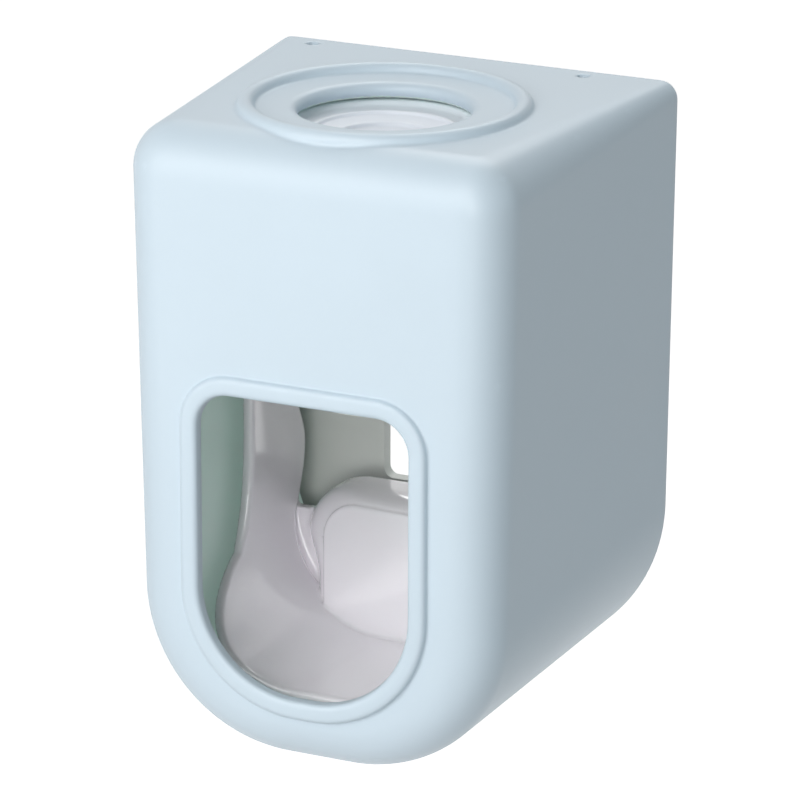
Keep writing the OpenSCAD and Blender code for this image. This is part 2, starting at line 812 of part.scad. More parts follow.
// one wire through a list of points; every tangent stays clear of the X axis
function unit(v) = v / norm(v);
module wire(p, r) {
    n = len(p);
    k = 6;
    tang = [for (i = [0 : n - 1]) unit(p[min(i + 1, n - 1)] - p[max(i - 1, 0)])];
    side = [for (t = tang) unit(cross(t, [1, 0, 0]))];
    pts = [for (i = [0 : n - 1], j = [0 : k - 1])
        p[i] + r * (cos(360 * j / k) * side[i] + sin(360 * j / k) * cross(side[i], tang[i]))];
    quads = [for (i = [0 : n - 2], j = [0 : k - 1])
        let (a = i * k + j, b = i * k + (j + 1) % k) [[a, b, b + k], [a, b + k, a + k]]];
    sides = [for (q = quads, f = q) f];
    first = [for (j = [1 : k - 2]) [0, j + 1, j]];
    last = [for (j = [1 : k - 2]) [(n - 1) * k, (n - 1) * k + j, (n - 1) * k + j + 1]];
    polyhedron(concat(pts), concat(sides, first, last));
}

module return_springs() {
    steps = 12;
    coil = [for (i = [0 : spring_turns * steps - steps / 4])
        let (a = -90 - 360 * i / steps, u = i / (spring_turns * steps))
        [spring_x0 + (spring_x1 - spring_x0) * u, spring_r * cos(a), spring_r * sin(a)]];
    x_end = coil[len(coil) - 1][0];
    rear_leg = [[spring_x0, 9, -spring_r], [spring_x0, 4, -spring_r]];
    down_leg = [[x_end, spring_r, -4], [x_end, spring_r, -9]];
    color(steel_grey) lower() both() at_pivot()
        wire(concat(rear_leg, coil, down_leg), wire_r);
}

shell();
back_plate();
wall_hanger();
adhesive_pad();
pump_frame();
frame_screws();
tube_socket();
inlet_seat();
inlet_flap();
pump_sleeve();
sleeve_cap();
outlet_nozzle();
nozzle_cap();
push_lever();
press_bar();
pivot_pins();
pin_clips();
return_springs();
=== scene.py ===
import math
import bpy
import numpy as np
from mathutils import Matrix, Vector


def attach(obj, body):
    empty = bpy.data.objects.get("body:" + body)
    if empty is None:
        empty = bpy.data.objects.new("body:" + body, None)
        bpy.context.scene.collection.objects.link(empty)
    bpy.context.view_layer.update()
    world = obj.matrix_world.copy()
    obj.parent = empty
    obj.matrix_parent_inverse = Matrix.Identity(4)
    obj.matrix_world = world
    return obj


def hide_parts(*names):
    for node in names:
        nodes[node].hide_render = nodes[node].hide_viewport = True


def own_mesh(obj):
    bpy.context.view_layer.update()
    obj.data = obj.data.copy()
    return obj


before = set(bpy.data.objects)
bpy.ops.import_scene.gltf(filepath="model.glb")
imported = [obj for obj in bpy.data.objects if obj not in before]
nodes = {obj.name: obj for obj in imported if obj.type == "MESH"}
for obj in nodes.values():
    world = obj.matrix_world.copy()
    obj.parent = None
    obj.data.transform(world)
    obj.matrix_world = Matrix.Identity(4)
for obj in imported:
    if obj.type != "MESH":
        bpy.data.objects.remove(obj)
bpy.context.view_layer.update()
scene = bpy.context.scene

# Sizes are in mm, with x = 0 in the middle, the wall at y = 0 and z counted up from the chin
MM = 0.001
PLATE_Z = 71.0                      # from the chin up to the frame's origin
PUMP_Y = -31.8                      # the upright axis of the tube, the pump and the outlet

# Cover, where a pair of values is the one at the front and the one at the rear
DEEP, TALL, WALL = 57.5, 94.0, 2.4
EDGE = 7.0                          # rounding of the front edge, and of the top corners there
HALF_TOP, HALF_CHIN = (30.3, 33.0), (29.1, 32.4)
TOP_R, CHIN_R = (EDGE, 2.7), (24.0, 27.5)
CHIN_RISE = 1.0                     # the chin's lowest line lies this much higher at the rear
DRAFT_END = 1.15                    # the draft runs on a little behind the wall plane
REAR_Y, REAR_R = -0.3, 0.55
FRONT_Y = -48.0                     # the band and the coring behind it stay in front of this

# Window, with its middle a little to the left as in the photograph
WINDOW_X, WINDOW_HALF = -0.6, 16.3
WINDOW_LOW, WINDOW_HIGH = 11.2, 55.2
WINDOW_TOP_R, WINDOW_LOW_R, WINDOW_SPLIT = 4.6, 15.0, 38.0
WINDOW_BACK, WINDOW_LIP, WINDOW_LIP_R = -50.0, 0.4, 1.1
BAND_W, BAND_H, BAND_R = 3.4, 1.0, 0.85
BAND_JOIN, BAND_CORE_INSET = 0.15, 0.2

# Top of the cover: ring, hole, the collar and posts under it, and the two latch notches
RING_R, RING_WIRE, RING_JOIN = 20.2, 1.35, 0.35
HOLE_R, HOLE_LOW, HOLE_LIP_R = 12.6, 88.0, 1.3
COLLAR_R, COLLAR_HALF_W, COLLAR_Z, COLLAR_HALF_H = 17.05, 0.75, 90.5, 2.0
POST_X, POST_YS, POST_R, POST_Z, POST_HALF_H = 15.5, (-12.0, -50.0), 2.8, 90.0, 2.95
NOTCH_XS, NOTCH_Y, NOTCH_HALF_X, NOTCH_HALF_Y = (-25.6, 19.0), -3.5, 0.85, 0.6
NOTCH_LOW, NOTCH_LIP_R = 90.0, 0.15

# Scoop: a trough with arms, tilted a little so that its floor rises to the front
TILT = math.radians(2.2)
TILT_Y, TILT_Z = -11.2, 3.8         # the floor's underside at its rear, which the tilt leaves in place
TROUGH_HALF_X, TROUGH_HALF_Z, TROUGH_R = 26.2, 60.0, 20.6
# the inner corner is a little tighter, so that the groove beside the block runs deep
HOLLOW_HALF_X, HOLLOW_HALF_Z, HOLLOW_R = 24.3, 58.1, 16.8
TROUGH_TOP, SCOOP_EDGE_R = 100.0, 0.8
LIMB = ((-26, 56), (-41.5, 57.6), (-41.5, 64.4), (-25, 70.0))
LIMB_END, LIMB_END_R = (-41.5, 61.0), 3.4
PIVOT, PIVOT_R = (-22.0, 86.0), 4.1
LEAN = 0.09                         # slope of the plane on which all behind the scoop ends

# Push block: a bowed face with a narrow rim, and broad rounding at the flanks
FACE_Y, FACE_BOW = -18.6, 220.0
FACE_HALF_X, FACE_MID_Z, FACE_R, FACE_DEEP, FACE_EDGE_R = 17.4, 6.5, 6.4, 1.8, 0.3
FLANK_STEP, FLANK_DEEP = 0.45, 5.0
BLOCK_HALF_X, BLOCK_ROOT_X, BLOCK_ROOT_GROWTH = 16.9, 19.9, 2.3
GROWTH_Z, GROWTH_SPAN = 13.0, 8.0
BLOCK_TOP, BLOCK_TOP_FALL, BLOCK_R, BLOCK_R_FALL = 28.3, 1.9, 9.5, 2.0
BLOCK_HALF_Z, BLOCK_REAR_R, BLOCK_CLEAR = 20.0, 0.45, 0.8
BACK_HOLLOW_X, BACK_HOLLOW_MID_Z, BACK_HOLLOW_Z, BACK_HOLLOW_R = 17.0, 12.0, 14.0, 7.0
BLOCK_WALL = 2.0
WEB_WALL, WEB_TOP, WEB_CLEAR, WEB_JOIN = 1.6, 22.2, 0.3, 1.5
SKIRT_WALL, SKIRT_DEEP, SKIRT_TOP, SKIRT_JOIN = 0.9, 4.0, 26.5, 0.5
REAR_JOIN = 0.4

# Foam pad on the wall
FOAM_HALF_X, FOAM_HALF_Z, FOAM_R, FOAM_HALF_Y, FOAM_EDGE_R = 17.5, 12.5, 3.0, 0.5, 0.3


# Distance fields, below zero inside
TINY = 1e-12


def union_round(a, b, r):
    """a and b together, with a fillet of radius r between them"""
    return np.maximum(r, np.minimum(a, b)) - np.hypot(np.maximum(r - a, 0), np.maximum(r - b, 0))


def cut_round(a, b, r):
    """what lies in both a and b, with their common edge rounded by r"""
    return np.minimum(-r, np.maximum(a, b)) + np.hypot(np.maximum(r + a, 0), np.maximum(r + b, 0))


def corner(a, b):
    """what lies in both a and b, with the true distance outside their common edge"""
    return np.hypot(np.maximum(a, 0), np.maximum(b, 0)) + np.minimum(np.maximum(a, b), 0)


def box2(u, v, half_u, half_v, r):
    return corner(np.abs(u) - half_u + r, np.abs(v) - half_v + r) - r


def smooth(t):
    t = np.clip(t, 0, 1)
    return t * t * (3 - 2 * t)


def body(x, y, z):
    """the drafted cover as one solid: corner circles, the side that touches both, and the front edge"""
    x = np.abs(x)
    t = np.clip((y + DEEP - EDGE) / (DEEP - EDGE), 0, DRAFT_END)

    def drafted(pair):
        return pair[0] + (pair[1] - pair[0]) * t

    top_r, chin_r = drafted(TOP_R), drafted(CHIN_R)
    low = CHIN_RISE * t
    top_x, top_z = drafted(HALF_TOP) - top_r, TALL - top_r
    chin_x, chin_z = drafted(HALF_CHIN) - chin_r, low + chin_r
    run_x, run_z = top_x - chin_x, top_z - chin_z
    length = np.hypot(run_x, run_z)
    m = (chin_r - top_r) / length
    k = np.sqrt(1 - m * m)
    nx, nz = (m * run_x + k * run_z) / length, (m * run_z - k * run_x) / length
    above_x, above_z = x - top_x, z - top_z
    below_x, below_z = x - chin_x, z - chin_z
    d = np.maximum(np.maximum(z - TALL, low - z), nx * above_x + nz * above_z - top_r)
    at_top = (above_x > 0) & (-nz * above_x + nx * above_z > 0)
    d = np.where(at_top, np.hypot(above_x, above_z) - top_r, d)
    at_chin = (below_x > 0) & (-nz * below_x + nx * below_z < 0)
    d = np.where(at_chin, np.hypot(below_x, below_z) - chin_r, d)
    return corner(d + EDGE, -y - (DEEP - EDGE)) - EDGE


def window(x, z):
    r = np.where(z > WINDOW_SPLIT, WINDOW_TOP_R, WINDOW_LOW_R)
    mid, half = (WINDOW_LOW + WINDOW_HIGH) / 2, (WINDOW_HIGH - WINDOW_LOW) / 2
    return box2(x - WINDOW_X, z - mid, WINDOW_HALF, half, r)


def window_band(skin, edge, y):
    """the raised band, which follows the cover's skin round the window's edge"""
    across = np.abs(edge - BAND_W / 2) - (BAND_W / 2 - BAND_R)
    out = np.abs(skin) - (BAND_H - BAND_R)
    return np.maximum(corner(across, out) - BAND_R, y - FRONT_Y)


def shell_field(x, y, z):
    skin = body(x, y, z)
    edge = window(x, z)
    rho = np.hypot(x, y - PUMP_Y)
    f = cut_round(skin, y - REAR_Y, REAR_R)
    f = union_round(f, window_band(skin, edge, y), BAND_JOIN)
    f = union_round(f, np.hypot(rho - RING_R, z - TALL) - RING_WIRE, RING_JOIN)
    # the wall is cored out behind the band
    core = np.where(edge < BAND_W - BAND_CORE_INSET, BAND_H, 0) * (y < FRONT_Y)
    f = np.maximum(f, -(skin + WALL - core))
    collar = np.maximum(np.abs(rho - COLLAR_R) - COLLAR_HALF_W, np.abs(z - COLLAR_Z) - COLLAR_HALF_H)
    f = np.minimum(f, collar)
    for post_x in (-POST_X, POST_X):
        for post_y in POST_YS:
            round_post = np.hypot(x - post_x, y - post_y) - POST_R
            f = np.minimum(f, np.maximum(round_post, np.abs(z - POST_Z) - POST_HALF_H))
    f = cut_round(f, -np.maximum(edge - WINDOW_LIP, y - WINDOW_BACK), WINDOW_LIP_R)
    f = cut_round(f, -np.maximum(rho - HOLE_R, HOLE_LOW - z), HOLE_LIP_R)
    for notch_x in NOTCH_XS:
        notch = np.maximum(np.abs(x - notch_x) - NOTCH_HALF_X, np.abs(y - NOTCH_Y) - NOTCH_HALF_Y)
        f = cut_round(f, -np.maximum(notch, NOTCH_LOW - z), NOTCH_LIP_R)
    return f


def bend(a, b, c, n):
    """a curve from a to c that leaves and arrives towards b"""
    a, b, c = (np.array(p, float) for p in (a, b, c))
    t = np.linspace(0, 1, n + 1)[:, None]
    return (1 - t) ** 2 * a + 2 * t * (1 - t) * b + t * t * c


# The scoop from the side as (y, z): down its front edge, back under the floor and up its rear edge
SIDE = np.vstack([
    bend((-25.0, 78), (-26.4, 62), (-26.9, 44), 8),
    bend((-26.9, 42), (-26.8, 26.5), (-30.5, 22.2), 10),
    bend((-31.2, 21.3), (-45.4, 15.6), (-46.8, 9.0), 10),
    [[-46.2, 1.0]],
    bend((-11.2, 1.0), (-14.8, 11), (-12.6, 20), 8),
    bend((-12.4, 21), (-8.2, 29), (-8.7, 33.4), 8),
    bend((-8.9, 34.4), (-10.4, 39), (-14.6, 44), 8),
    bend((-15.2, 45), (-18, 56), (-18.0, 78), 8),
    [[-17.9, 86.0]], [[-26.1, 86.0]]])


def polygon(u, v, points):
    """the signed distance to a closed outline of straight sides"""
    best = np.full(u.shape, np.inf)
    inside = np.zeros(u.shape, bool)
    for (u0, v0), (u1, v1) in zip(points, np.roll(points, -1, axis=0)):
        du, dv = u1 - u0, v1 - v0
        t = np.clip(((u - u0) * du + (v - v0) * dv) / (du * du + dv * dv + TINY), 0, 1)
        best = np.minimum(best, (u - u0 - t * du) ** 2 + (v - v0 - t * dv) ** 2)
        if v0 != v1:
            inside ^= ((v0 > v) != (v1 > v)) & (u < u0 + (v - v0) / (v1 - v0) * du)
    return np.where(inside, -1, 1) * np.sqrt(best)


def push_block(x, y, z, lean, trough):
    front = FACE_Y + x * x / FACE_BOW
    turn = 1 - np.clip((y - front - FLANK_STEP) / FLANK_DEEP, 0, 1)
    k = 1 - np.sqrt(1 - turn ** 2)
    root = BLOCK_ROOT_X + BLOCK_ROOT_GROWTH * smooth((z - GROWTH_Z) / GROWTH_SPAN)
    half = root + (BLOCK_HALF_X - root) * k
    top = BLOCK_TOP - BLOCK_TOP_FALL * k
    block = box2(x, z - (top - BLOCK_HALF_Z), half, BLOCK_HALF_Z, BLOCK_R - BLOCK_R_FALL * k)
    block = np.maximum(block, front + FLANK_STEP - y)
    face = box2(x, z - FACE_MID_Z, FACE_HALF_X, BLOCK_HALF_Z, FACE_R)
    face = cut_round(face, np.maximum(front - y, y - front - FACE_DEEP), FACE_EDGE_R)
    block = union_round(block, face, FACE_EDGE_R)
    block = np.maximum(block, -np.maximum(back_hollow(x, z), front + BLOCK_WALL - y))
    block = cut_round(block, lean, BLOCK_REAR_R)
    return np.maximum(block, trough + BLOCK_CLEAR)


def back_hollow(x, z):
    return box2(x, z - BACK_HOLLOW_MID_Z, BACK_HOLLOW_X, BACK_HOLLOW_Z, BACK_HOLLOW_R)


def lever_field(x, y, z):
    tilted = (y - TILT_Y) * math.sin(TILT) + (z - TILT_Z) * math.cos(TILT)
    up = tilted - TROUGH_HALF_Z
    trough = box2(x, up, TROUGH_HALF_X, TROUGH_HALF_Z, TROUGH_R)
    hollow = box2(x, up, HOLLOW_HALF_X, HOLLOW_HALF_Z, HOLLOW_R)
    walls = np.maximum(np.maximum(trough, -hollow), tilted - TROUGH_TOP)
    limb = np.minimum(polygon(y, z, np.array(LIMB)), np.hypot(y - LIMB_END[0], z - LIMB_END[1]) - LIMB_END_R)
    head = np.hypot(y - PIVOT[0], z - PIVOT[1]) - PIVOT_R
    side = np.minimum(np.minimum(polygon(y, z, SIDE), limb), head)
    scoop = cut_round(walls, side, SCOOP_EDGE_R)
    lean = y - TILT_Y - LEAN * (z - TILT_Z)
    block = push_block(x, y, z, lean, trough)
    # web from cheek to cheek behind the block, and the thin skirt that joins it to the cheeks
    web = np.maximum(np.maximum(lean, -lean - WEB_WALL), np.maximum(trough + WEB_CLEAR, z - WEB_TOP))
    web = np.maximum(web, -back_hollow(x, z))
    skirt = np.maximum(np.maximum(trough, -trough - SKIRT_WALL),
                       np.maximum(np.maximum(lean, -lean - SKIRT_DEEP), z - SKIRT_TOP))
    rear = union_round(union_round(web, block, WEB_JOIN), skirt, SKIRT_JOIN)
    return union_round(scoop, rear, REAR_JOIN)


def foam_field(x, y, z):
    flat = box2(x, z - PLATE_Z, FOAM_HALF_X, FOAM_HALF_Z, FOAM_R)
    return cut_round(flat, np.abs(y + FOAM_HALF_Y) - FOAM_HALF_Y, FOAM_EDGE_R)


# Meshes
SLICE = 8                           # layers of the grid worked out at once
PULLS, PROBE, LEAST_SLOPE, REACH = 4, 0.02, 0.2, 0.75


def link(name, points, faces):
    """a smooth mesh object, moved from the chin's mm to the frame's metres"""
    at = np.array(points, float)
    at[:, 2] -= PLATE_Z
    mesh = bpy.data.meshes.new(name)
    mesh.from_pydata((at * MM).tolist(), [], faces)
    mesh.polygons.foreach_set("use_smooth", np.ones(len(faces), bool))
    mesh.update()
    ob = bpy.data.objects.new(name, mesh)
    scene.collection.objects.link(ob)
    return ob


def graded(*stretches):
    """coordinates of a grid line: (start, end, spacing) for each stretch"""
    out = []
    for start, end, step in stretches:
        n = max(1, round((end - start) / (step * 1.0)))
        out.extend(start + (end - start) * i / n for i in range(n))
    return np.array(out + [stretches[-1][1]])


def sampled(field, axes):
    """the field at every point of the grid, worked out in slices to save memory"""
    values = np.empty([len(a) for a in axes], np.float32)
    for i in range(0, len(axes[0]), SLICE):
        values[i:i + SLICE] = field(*np.meshgrid(axes[0][i:i + SLICE], axes[1], axes[2], indexing="ij"))
    return values


def crossed_cells(inside):
    """the cells with some corners inside and some outside"""
    n = inside.shape
    count = sum(inside[i:n[0] - 1 + i, j:n[1] - 1 + j, k:n[2] - 1 + k].astype(int)
                for i, j, k in np.ndindex(2, 2, 2))
    return np.argwhere((count > 0) & (count < 8))


def edge_means(values, cells):
    """in each cell, the mean of the places where its edges cross the surface, in grid steps"""
    total = np.zeros((len(cells), 3))
    count = np.zeros(len(cells))
    for axis in range(3):
        across = [i for i in range(3) if i != axis]
        for shift in np.ndindex(2, 2):
            start = cells.copy()
            start[:, across] += shift
            end = start.copy()
            end[:, axis] += 1
            a, b = values[tuple(start.T)], values[tuple(end.T)]
            hit = (a < 0) != (b < 0)
            place = start[hit].astype(float)
            place[:, axis] += a[hit] / (a[hit] - b[hit])
            total[hit] += place
            count[hit] += 1
    return total / count[:, None]


def pulled(points, field, reach):
    """Newton's steps that bring the points onto the surface, none of them further than reach"""
    first = points.copy()
    for _ in range(PULLS):
        value = field(*points.T)
        slope = np.stack([(field(*(points + step).T) - field(*(points - step).T)) / (2 * PROBE)
                          for step in PROBE * np.eye(3)], 1)
        steep = np.maximum((slope * slope).sum(1), LEAST_SLOPE)
        points = points - (value / steep)[:, None] * slope
        points = first + np.clip(points - first, -reach, reach)
    return points


def cell_quads(inside, cells):
    """a quad round each grid edge that crosses the surface, from the points of its four cells"""
    n = inside.shape
    index = np.full([count - 1 for count in n], -1, np.int64)
    index[tuple(cells.T)] = np.arange(len(cells))
    quads = []
    for axis in range(3):
        across = [i for i in range(3) if i != axis]
        here = [slice(1, count - 1) for count in n]
        here[axis] = slice(0, n[axis] - 1)
        ahead = list(here)
        ahead[axis] = slice(1, n[axis])
        start, end = inside[tuple(here)], inside[tuple(ahead)]
        edges = np.argwhere(start != end)
        outward = start[tuple(edges.T)] != (axis == 1)
        edges[:, across] += 1
        ring = []
        for shift in ((-1, -1), (0, -1), (0, 0), (-1, 0)):
            cell = edges.copy()
            cell[:, across] += shift
            ring.append(index[tuple(cell.T)])
        ring = np.stack(ring, 1)
        ring[~outward] = ring[~outward][:, ::-1]
        quads.append(ring)
    return np.vstack(quads)


def surface(name, field, axes):
    """the surface of a field, as quads on a graded grid"""
    values = sampled(field, axes)
    inside = values < 0
    cells = crossed_cells(inside)
    means = edge_means(values, cells)
    points = np.stack([np.interp(means[:, i], np.arange(len(a)), a) for i, a in enumerate(axes)], 1)
    reach = REACH * np.stack([np.diff(a)[cells[:, i]] for i, a in enumerate(axes)], 1)
    return link(name, pulled(points, field, reach), cell_quads(inside, cells).tolist())


AXIS_TURNS, CORNER_STEPS, CORNER_SHARE, OUTLINE_STEP, ON_AXIS = 96, 4, 0.45, 0.7, 1e-6


def rounded(outline, radius, closed):
    """an outline of (r, z) points with its corners rounded and its long sides divided"""
    points = [np.array(q, float) for q in outline]
    n = len(points)
    soft_line = []
    for i, q in enumerate(points):
        if not closed and i in (0, n - 1):
            soft_line.append(q)
            continue
        to_last, to_next = points[i - 1] - q, points[(i + 1) % n] - q
        last_len, next_len = np.linalg.norm(to_last), np.linalg.norm(to_next)
        cut = min(radius, CORNER_SHARE * last_len, CORNER_SHARE * next_len)
        a, b = q + to_last / last_len * cut, q + to_next / next_len * cut
        soft_line.extend(bend(a, q, b, CORNER_STEPS))
    fine = []
    m = len(soft_line)
    for i in range(m if closed else m - 1):
        a, b = soft_line[i], soft_line[(i + 1) % m]
        k = max(1, int(np.linalg.norm(b - a) / OUTLINE_STEP))
        fine.extend(a + (b - a) * j / k for j in range(k))
    if not closed:
        fine.append(soft_line[-1])
    return fine


def turned(name, outline, radius, closed=True, pinch=None):
    """a piece turned about the pump's axis; pinch(z) flattens it along y"""
    points, faces, rows = [], [], []
    for r, z in rounded(outline, radius, closed):
        if r < ON_AXIS:
            rows.append([len(points)])
            points.append((0, PUMP_Y, z))
            continue
        rows.append(list(range(len(points), len(points) + AXIS_TURNS)))
        k = pinch(z) if pinch else 1.0
        for i in range(AXIS_TURNS):
            t = 2 * math.pi * i / AXIS_TURNS
            points.append((r * math.cos(t), PUMP_Y + k * r * math.sin(t), z))
    for j in range(len(rows) if closed else len(rows) - 1):
        a, b = rows[j], rows[(j + 1) % len(rows)]
        for i in range(AXIS_TURNS):
            k = (i + 1) % AXIS_TURNS
            if len(a) == 1:
                faces.append((a[0], b[k], b[i]))
            elif len(b) == 1:
                faces.append((a[i], a[k], b[0]))
            else:
                faces.append((a[i], a[k], b[k], b[i]))
    return link(name, points, faces)


# Materials
WHITE_LIGHT = (1, 1, 1)
MOTTLE, BLOTCH_SCALE, BLOTCH_DETAIL = 0.01, 60, 3
GRAIN_DETAIL, GRAIN_HEIGHT = 2, 0.00005
ROUGH_SPREAD, ROUGH_LEAST, COAT_ROUGH = 0.05, 0.02, 0.08
EDGE_FROM, EDGE_TO = 0.52, 0.62     # pointiness where an edge begins to turn paler, and where it is palest


def lin(*rgb):
    """a colour as it is seen, from 0 to 255, as the light that it stands for"""
    seen = [v / 255 for v in rgb]
    return tuple(c / 12.92 if c <= 0.04045 else ((c + 0.055) / 1.055) ** 2.4 for c in seen)


def scaled(colour, factor, lift=0.0):
    return (*[min(1, c * factor + lift) for c in colour], 1)


def noise(tree, place, scale, detail):
    node = tree.nodes.new("ShaderNodeTexNoise")
    node.inputs["Scale"].default_value = scale
    node.inputs["Detail"].default_value = detail
    tree.links.new(place, node.inputs["Vector"])
    return node.outputs["Fac"]


def ranged(tree, value, low, high, start=0.0, end=1.0):
    """low to high as the value goes from start to end"""
    node = tree.nodes.new("ShaderNodeMapRange")
    for socket, level in (("From Min", start), ("From Max", end), ("To Min", low), ("To Max", high)):
        node.inputs[socket].default_value = level
    tree.links.new(value, node.inputs["Value"])
    return node.outputs["Result"]


def mottled(tree, blotches, colour):
    ramp = tree.nodes.new("ShaderNodeValToRGB")
    low, high = ramp.color_ramp.elements
    low.position, high.position = 0.3, 0.7
    low.color, high.color = scaled(colour, 1 - MOTTLE), scaled(colour, 1 + MOTTLE)
    tree.links.new(blotches, ramp.inputs["Fac"])
    return ramp.outputs["Color"]


def paler_on_edges(tree, colour_out, colour, edge_paling):
    """the colour, a little paler along outer edges"""
    point = tree.nodes.new("ShaderNodeNewGeometry").outputs["Pointiness"]
    mix = tree.nodes.new("ShaderNodeMix")
    mix.data_type = "RGBA"
    mix.inputs["B"].default_value = scaled(colour, 1.08, 0.02)
    tree.links.new(ranged(tree, point, 0.0, edge_paling, EDGE_FROM, EDGE_TO), mix.inputs["Factor"])
    tree.links.new(colour_out, mix.inputs["A"])
    return mix.outputs["Result"]


def plastic(name, colour, rough, grain, grain_scale=2500, coat=0.0, metal=0.0, edge_paling=0.0,
            sub=0.0, depth=0.002, radius=(1.0, 1.0, 1.0)):
    """a moulding: faint blotches in colour and gloss, fine grain, and coat, glow or paler edges where given
    """
    material = bpy.data.materials.new(name)
    material.use_nodes = True
    tree = material.node_tree
    shader = tree.nodes["Principled BSDF"]
    sockets = {"Metallic": metal}
    if coat:
        sockets.update({"Coat Weight": coat, "Coat Roughness": COAT_ROUGH})
    if sub:
        sockets.update({"Subsurface Weight": sub, "Subsurface Scale": depth, "Subsurface Radius": radius})
    for socket, value in sockets.items():
        shader.inputs[socket].default_value = value
    place = tree.nodes.new("ShaderNodeTexCoord").outputs["Object"]
    blotches = noise(tree, place, BLOTCH_SCALE, BLOTCH_DETAIL)
    colour_out = mottled(tree, blotches, colour)
    if edge_paling:
        colour_out = paler_on_edges(tree, colour_out, colour, edge_paling)
    gloss = ranged(tree, blotches, max(ROUGH_LEAST, rough - ROUGH_SPREAD), rough + ROUGH_SPREAD)
    bump = tree.nodes.new("ShaderNodeBump")
    bump.inputs["Strength"].default_value = grain
    bump.inputs["Distance"].default_value = GRAIN_HEIGHT
    tree.links.new(noise(tree, place, grain_scale, GRAIN_DETAIL), bump.inputs["Height"])
    tree.links.new(colour_out, shader.inputs["Base Color"])
    tree.links.new(gloss, shader.inputs["Roughness"])
    tree.links.new(bump.outputs["Normal"], shader.inputs["Normal"])
    return material


# the cover's colour is made a little paler along its outer edges
BLUE = plastic("cover_blue", lin(190, 205, 215), 0.42, grain=0.12, edge_paling=0.25)
GLOSS = plastic("scoop_white", lin(251, 248, 253), 0.14, grain=0.02, coat=1.0)
WHITE = plastic("moulding_white", lin(228, 232, 227), 0.4, grain=0.1)
# light passes through the thin wall and fills the inside of the cover
INNER = plastic("cover_inner", lin(196, 220, 211), 0.5, grain=0.12,
                sub=1.0, depth=0.016, radius=(0.8, 1.0, 0.92))
SILICONE = plastic("silicone_milky", lin(228, 233, 240), 0.45, grain=0.05, sub=0.25)
STEEL = plastic("steel_plain", lin(170, 172, 176), 0.28, grain=0.05, metal=1.0)
FOAM = plastic("foam_grey", lin(206, 208, 210), 0.8, grain=0.6, grain_scale=1400)


# Pieces of the scene, each in place of a plain solid
def piece(ob, body_name, node, material):
    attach(ob, body_name)
    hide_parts(node)
    ob.data.materials.append(material)
    return ob


# Stretches of each grid line as (start, end, spacing), finer where a rounding is small
COVER_X = ((-34, -21.5, 0.6), (-21.5, -15.5, 0.33), (-15.5, 15.5, 0.5), (15.5, 21.5, 0.33), (21.5, 34, 0.6))
COVER_Y = ((-59.6, -54.4, 0.26), (-54.4, -2, 0.55), (-2, 0.8, 0.3))
COVER_Z = ((-1, 6, 0.6), (6, 13, 0.33), (13, 52.5, 0.6), (52.5, 60, 0.33), (60, 88, 0.6), (88, 96.2, 0.35))
SCOOP_X = ((-27.2, -14, 0.36), (-14, 14, 0.6), (14, 27.2, 0.36))
SCOOP_Y = ((-47, -20, 0.5), (-20, -8, 0.3))
SCOOP_Z = ((2, 34, 0.36), (34, 91.5, 0.6))
FOAM_X = ((-18.2, -16.2, 0.16), (-16.2, 16.2, 0.6), (16.2, 18.2, 0.16))
FOAM_Y = ((-1.3, 0.3, 0.16),)
FOAM_Z = ((57.6, 60.2, 0.16), (60.2, 81.8, 0.6), (81.8, 84.4, 0.16))


def grid(*lines):
    return [graded(*stretches) for stretches in lines]


cover = piece(surface("cover_skin", shell_field, grid(COVER_X, COVER_Y, COVER_Z)),
              "housing", "shell", BLUE)
piece(surface("scoop_skin", lever_field, grid(SCOOP_X, SCOOP_Y, SCOOP_Z)),
      "lever", "push_lever", GLOSS)

# The faces inside the cover's wall have a look of their own
INSIDE_FROM = -2.0
cover.data.materials.append(INNER)
centres = np.empty(len(cover.data.polygons) * 3)
cover.data.polygons.foreach_get("center", centres)
centres = centres.reshape(-1, 3) / MM + (0, 0, PLATE_Z)
within = body(*centres.T) < INSIDE_FROM
cover.data.polygons.foreach_set("material_index", within.astype(np.int32))

# Silicone pieces, as outlines of (r, z) turned about the pump's axis
SOCKET = [
    (3.0, 79.0), (8.8, 79.0), (8.8, 87.05), (15.9, 87.05), (15.9, 91.25), (13.9, 91.25), (12.9, 90.6),
    (11.2, 90.3), (11.0, 90.55), (10.4, 90.45), (10.2, 90.0), (8.3, 89.4), (8.1, 89.65), (7.5, 89.5),
    (7.3, 89.0), (5.9, 88.3), (5.0, 87.6), (5.0, 80.5), (3.0, 80.5)]
FLAP = [
    (0, 76.5), (4.6, 76.5), (5.05, 76.75), (5.05, 77.18), (0.7, 77.18), (0.7, 79.15), (1.12, 79.15),
    (0.75, 80.0), (0, 80.2)]
piece(turned("socket_skin", SOCKET, 0.35), "housing", "tube_socket", SILICONE)
piece(turned("flap_skin", FLAP, 0.2, closed=False), "housing", "inlet_flap", SILICONE)

# The sleeve: two stiff ends, and between them the tube that the bar squeezes
SLEEVE_R, SQUEEZE_Z = 6.7, 64.0
TOP_END = [(5.45, 69.4), (7.25, 69.4), (7.25, 74.7), (8.8, 74.7), (8.8, 77.15), (5.45, 77.15)]
LOW_END = [(5.45, 53.05), (6.8, 53.05), (6.8, 54.9), (8.85, 54.9), (8.85, 56.1), (5.45, 56.1)]
MIDDLE = [
    (5.5, 55.3), (SLEEVE_R, 55.3), (SLEEVE_R, 60.6), (6.62, SQUEEZE_Z), (SLEEVE_R, 67.4),
    (SLEEVE_R, 70.8), (5.5, 70.8)]
piece(turned("sleeve_top_end", TOP_END, 0.4), "housing", "pump_sleeve", SILICONE)
piece(turned("sleeve_low_end", LOW_END, 0.4), "housing", "pump_sleeve", SILICONE)
squeezed = piece(turned("sleeve_middle", MIDDLE, 0.5), "housing", "pump_sleeve", SILICONE)
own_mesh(squeezed)

